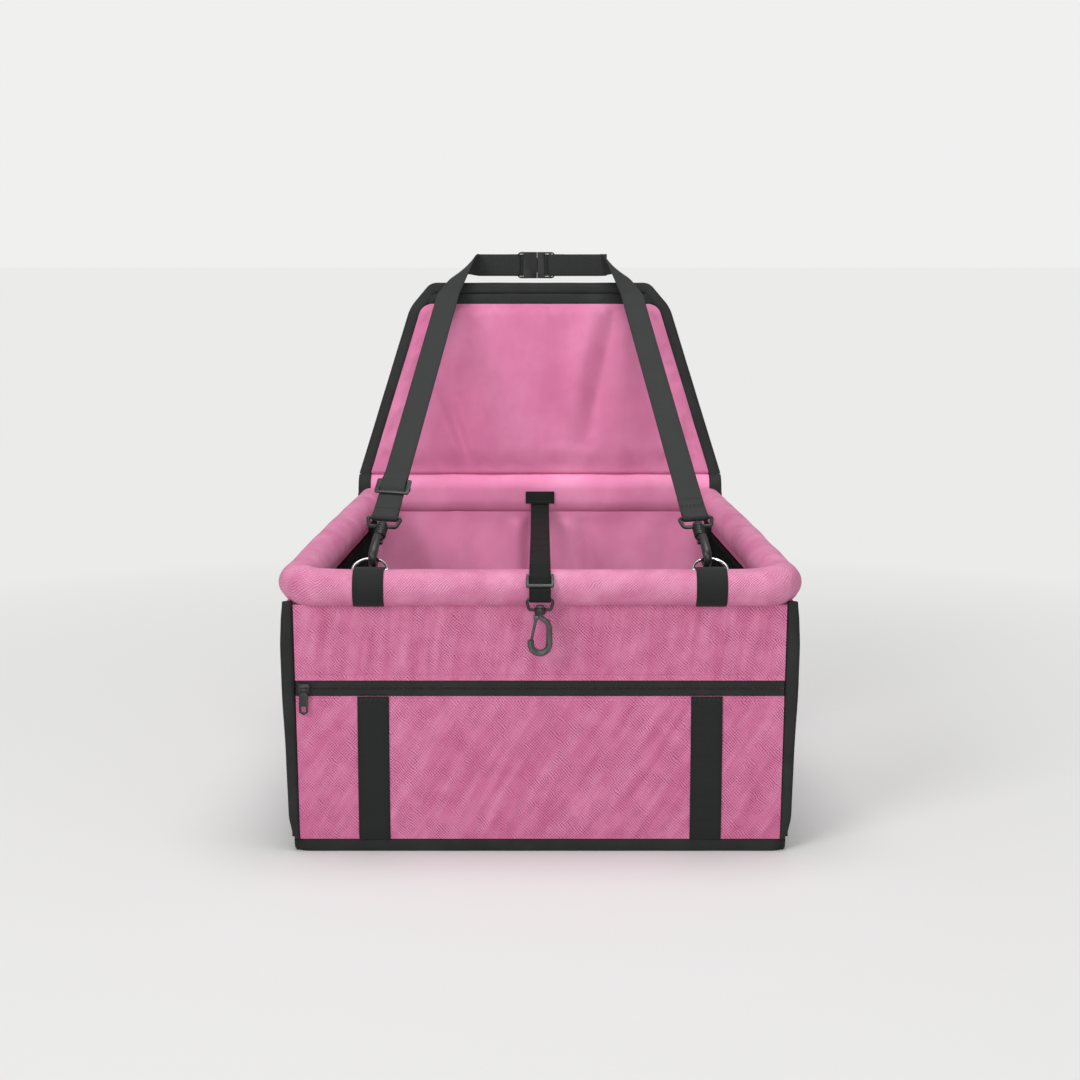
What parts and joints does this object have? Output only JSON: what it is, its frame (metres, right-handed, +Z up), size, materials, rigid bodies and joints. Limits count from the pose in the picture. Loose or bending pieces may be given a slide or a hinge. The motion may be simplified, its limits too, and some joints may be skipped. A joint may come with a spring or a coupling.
{
  "type": "dog car seat",
  "caption": "Open fabric basket for a small dog, with a tube rim, side nets, zip pocket and safety tether; padded back panel and hooked straps tie it round a car head rest.",
  "frame": {"origin": "on the floor under the middle of the rim, at the underside of the base", "axes": "+X to the right seen from the front, +Y from the front to the back, +Z up"},
  "size_m": [0.4936, 0.5382, 0.5545],
  "materials": {
    "cloth": "pink woven Oxford cloth",
    "binding": "black woven binding tape",
    "webbing": "black ribbed webbing",
    "net": "black open mesh",
    "moulded_black": "satin black moulded plastic",
    "moulded_grey": "satin grey moulded plastic",
    "chrome_wire": "bright plated wire",
    "tube": "grey extruded plastic tube",
    "board": "hollow plastic board"
  },
  "bodies": {
    "basket": {"front_panel": "cloth", "pocket_panel": "cloth", "front_lining": "cloth", "side_band_left": "cloth", "side_band_right": "cloth", "rear_wall": "cloth", "rim_sleeve": "cloth", "rear_channel": "cloth", "base_cover": "binding", "base_binding": "binding", "corner_binding_front_left": "binding", "corner_binding_front_right": "binding", "corner_binding_rear_left": "binding", "corner_binding_rear_right": "binding", "zip_tape_upper": "binding", "zip_tape_lower": "binding", "pocket_strap_left": "webbing", "pocket_strap_right": "webbing", "ring_tab_left": "webbing", "ring_tab_right": "webbing", "tether_webbing": "webbing", "tether_anchor": "webbing", "mesh_window_left": "net", "mesh_window_right": "net", "zip_coil": "moulded_black", "hook_bow_left": "moulded_black", "hook_bow_right": "moulded_black", "tether_adjuster": "moulded_black", "rim_tube_front": "tube", "rim_tube_left": "tube", "rim_tube_right": "tube", "rim_tube_rear": "tube", "elbow_front_left": "tube", "elbow_front_right": "tube", "elbow_rear_left": "tube", "elbow_rear_right": "tube", "base_board": "board"},
    "ring_left": {"d_ring_left": "chrome_wire"},
    "ring_right": {"d_ring_right": "chrome_wire"},
    "hook_left": {"snap_hook_left": "moulded_black"},
    "hook_right": {"snap_hook_right": "moulded_black"},
    "gate_left": {"hook_gate_left": "moulded_grey"},
    "gate_right": {"hook_gate_right": "moulded_grey"},
    "strap_adjuster": {"strap_adjuster": "moulded_black"},
    "back_panel": {"back_panel": "cloth", "panel_binding_left": "binding", "panel_binding_right": "binding", "panel_top_band": "binding", "strap_left": "webbing", "strap_right": "webbing", "buckle_female": "moulded_black"},
    "buckle_male": {"buckle_male": "moulded_black", "buckle_arms": "moulded_black", "strap_buckle_end": "webbing"},
    "zip_slider": {"zip_slider": "moulded_black"},
    "zip_pull": {"zip_pull": "moulded_grey"},
    "tether_bow": {"tether_bow": "moulded_black"},
    "tether_hook": {"tether_hook": "moulded_black"},
    "tether_gate": {"tether_gate": "moulded_grey"}
  },
  "joints": [
    {"name": "back_panel_fold", "type": "hinge", "parent": "basket", "child": "back_panel", "pos_m": [0, 0.206, 0.3108], "axis": [1, 0, 0], "range_deg": [0, 100], "deforming": ["strap_left", "strap_right"]},
    {"name": "zip_slide", "type": "slide", "parent": "basket", "child": "zip_slider", "axis": [1, 0, 0], "range_m": [0, 0.446]},
    {"name": "zip_pull_swing", "type": "hinge", "parent": "zip_slider", "child": "zip_pull", "pos_m": [-0.2235, -0.1946, 0.1595], "axis": [1, 0, 0], "range_deg": [-150, 0]},
    {"name": "buckle_release", "type": "slide", "parent": "back_panel", "child": "buckle_male", "axis": [1, 0, 0], "range_m": [0, 0.03], "deforming": ["buckle_arms", "strap_buckle_end"]},
    {"name": "strap_adjust", "type": "slide", "parent": "basket", "child": "strap_adjuster", "axis": [0.1127, 0.874, 0.4726], "range_m": [0, 0.04]},
    {"name": "tether_bow_swing", "type": "hinge", "parent": "basket", "child": "tether_bow", "pos_m": [0, -0.213, 0.2505], "axis": [1, 0, 0], "range_deg": [-100, 2]},
    {"name": "tether_hook_swivel", "type": "hinge", "parent": "tether_bow", "child": "tether_hook", "pos_m": [0, -0.213, 0.2405], "axis": [0, 0, 1], "continuous": true},
    {"name": "tether_gate_press", "type": "hinge", "parent": "tether_hook", "child": "tether_gate", "pos_m": [-0.0036, -0.213, 0.2331], "axis": [0, -1, 0], "range_deg": [0, 18], "stiffness_Nm_per_rad": 0.002},
    {"name": "ring_swing_left", "type": "hinge", "parent": "basket", "child": "ring_left", "pos_m": [-0.1605, -0.17824, 0.27152], "axis": [1, 0, 0], "range_deg": [-4, 4]},
    {"name": "hook_swivel_left", "type": "hinge", "parent": "basket", "child": "hook_left", "pos_m": [-0.15284, -0.1188, 0.30366], "axis": [0.1127, 0.874, 0.4726], "range_deg": [-20, 20]},
    {"name": "gate_press_left", "type": "hinge", "parent": "hook_left", "child": "gate_left", "pos_m": [-0.15502, -0.13405, 0.29132], "axis": [-0.9936, 0.0991, 0.0536], "range_deg": [0, 12], "stiffness_Nm_per_rad": 0.002},
    {"name": "ring_swing_right", "type": "hinge", "parent": "basket", "child": "ring_right", "pos_m": [0.1605, -0.17824, 0.27152], "axis": [1, 0, 0], "range_deg": [-4, 4]},
    {"name": "hook_swivel_right", "type": "hinge", "parent": "basket", "child": "hook_right", "pos_m": [0.15284, -0.1188, 0.30366], "axis": [-0.1127, 0.874, 0.4726], "range_deg": [-20, 20]},
    {"name": "gate_press_right", "type": "hinge", "parent": "hook_right", "child": "gate_right", "pos_m": [0.15502, -0.13405, 0.29132], "axis": [-0.9936, -0.0991, -0.0536], "range_deg": [0, 12], "stiffness_Nm_per_rad": 0.002}
  ]
}
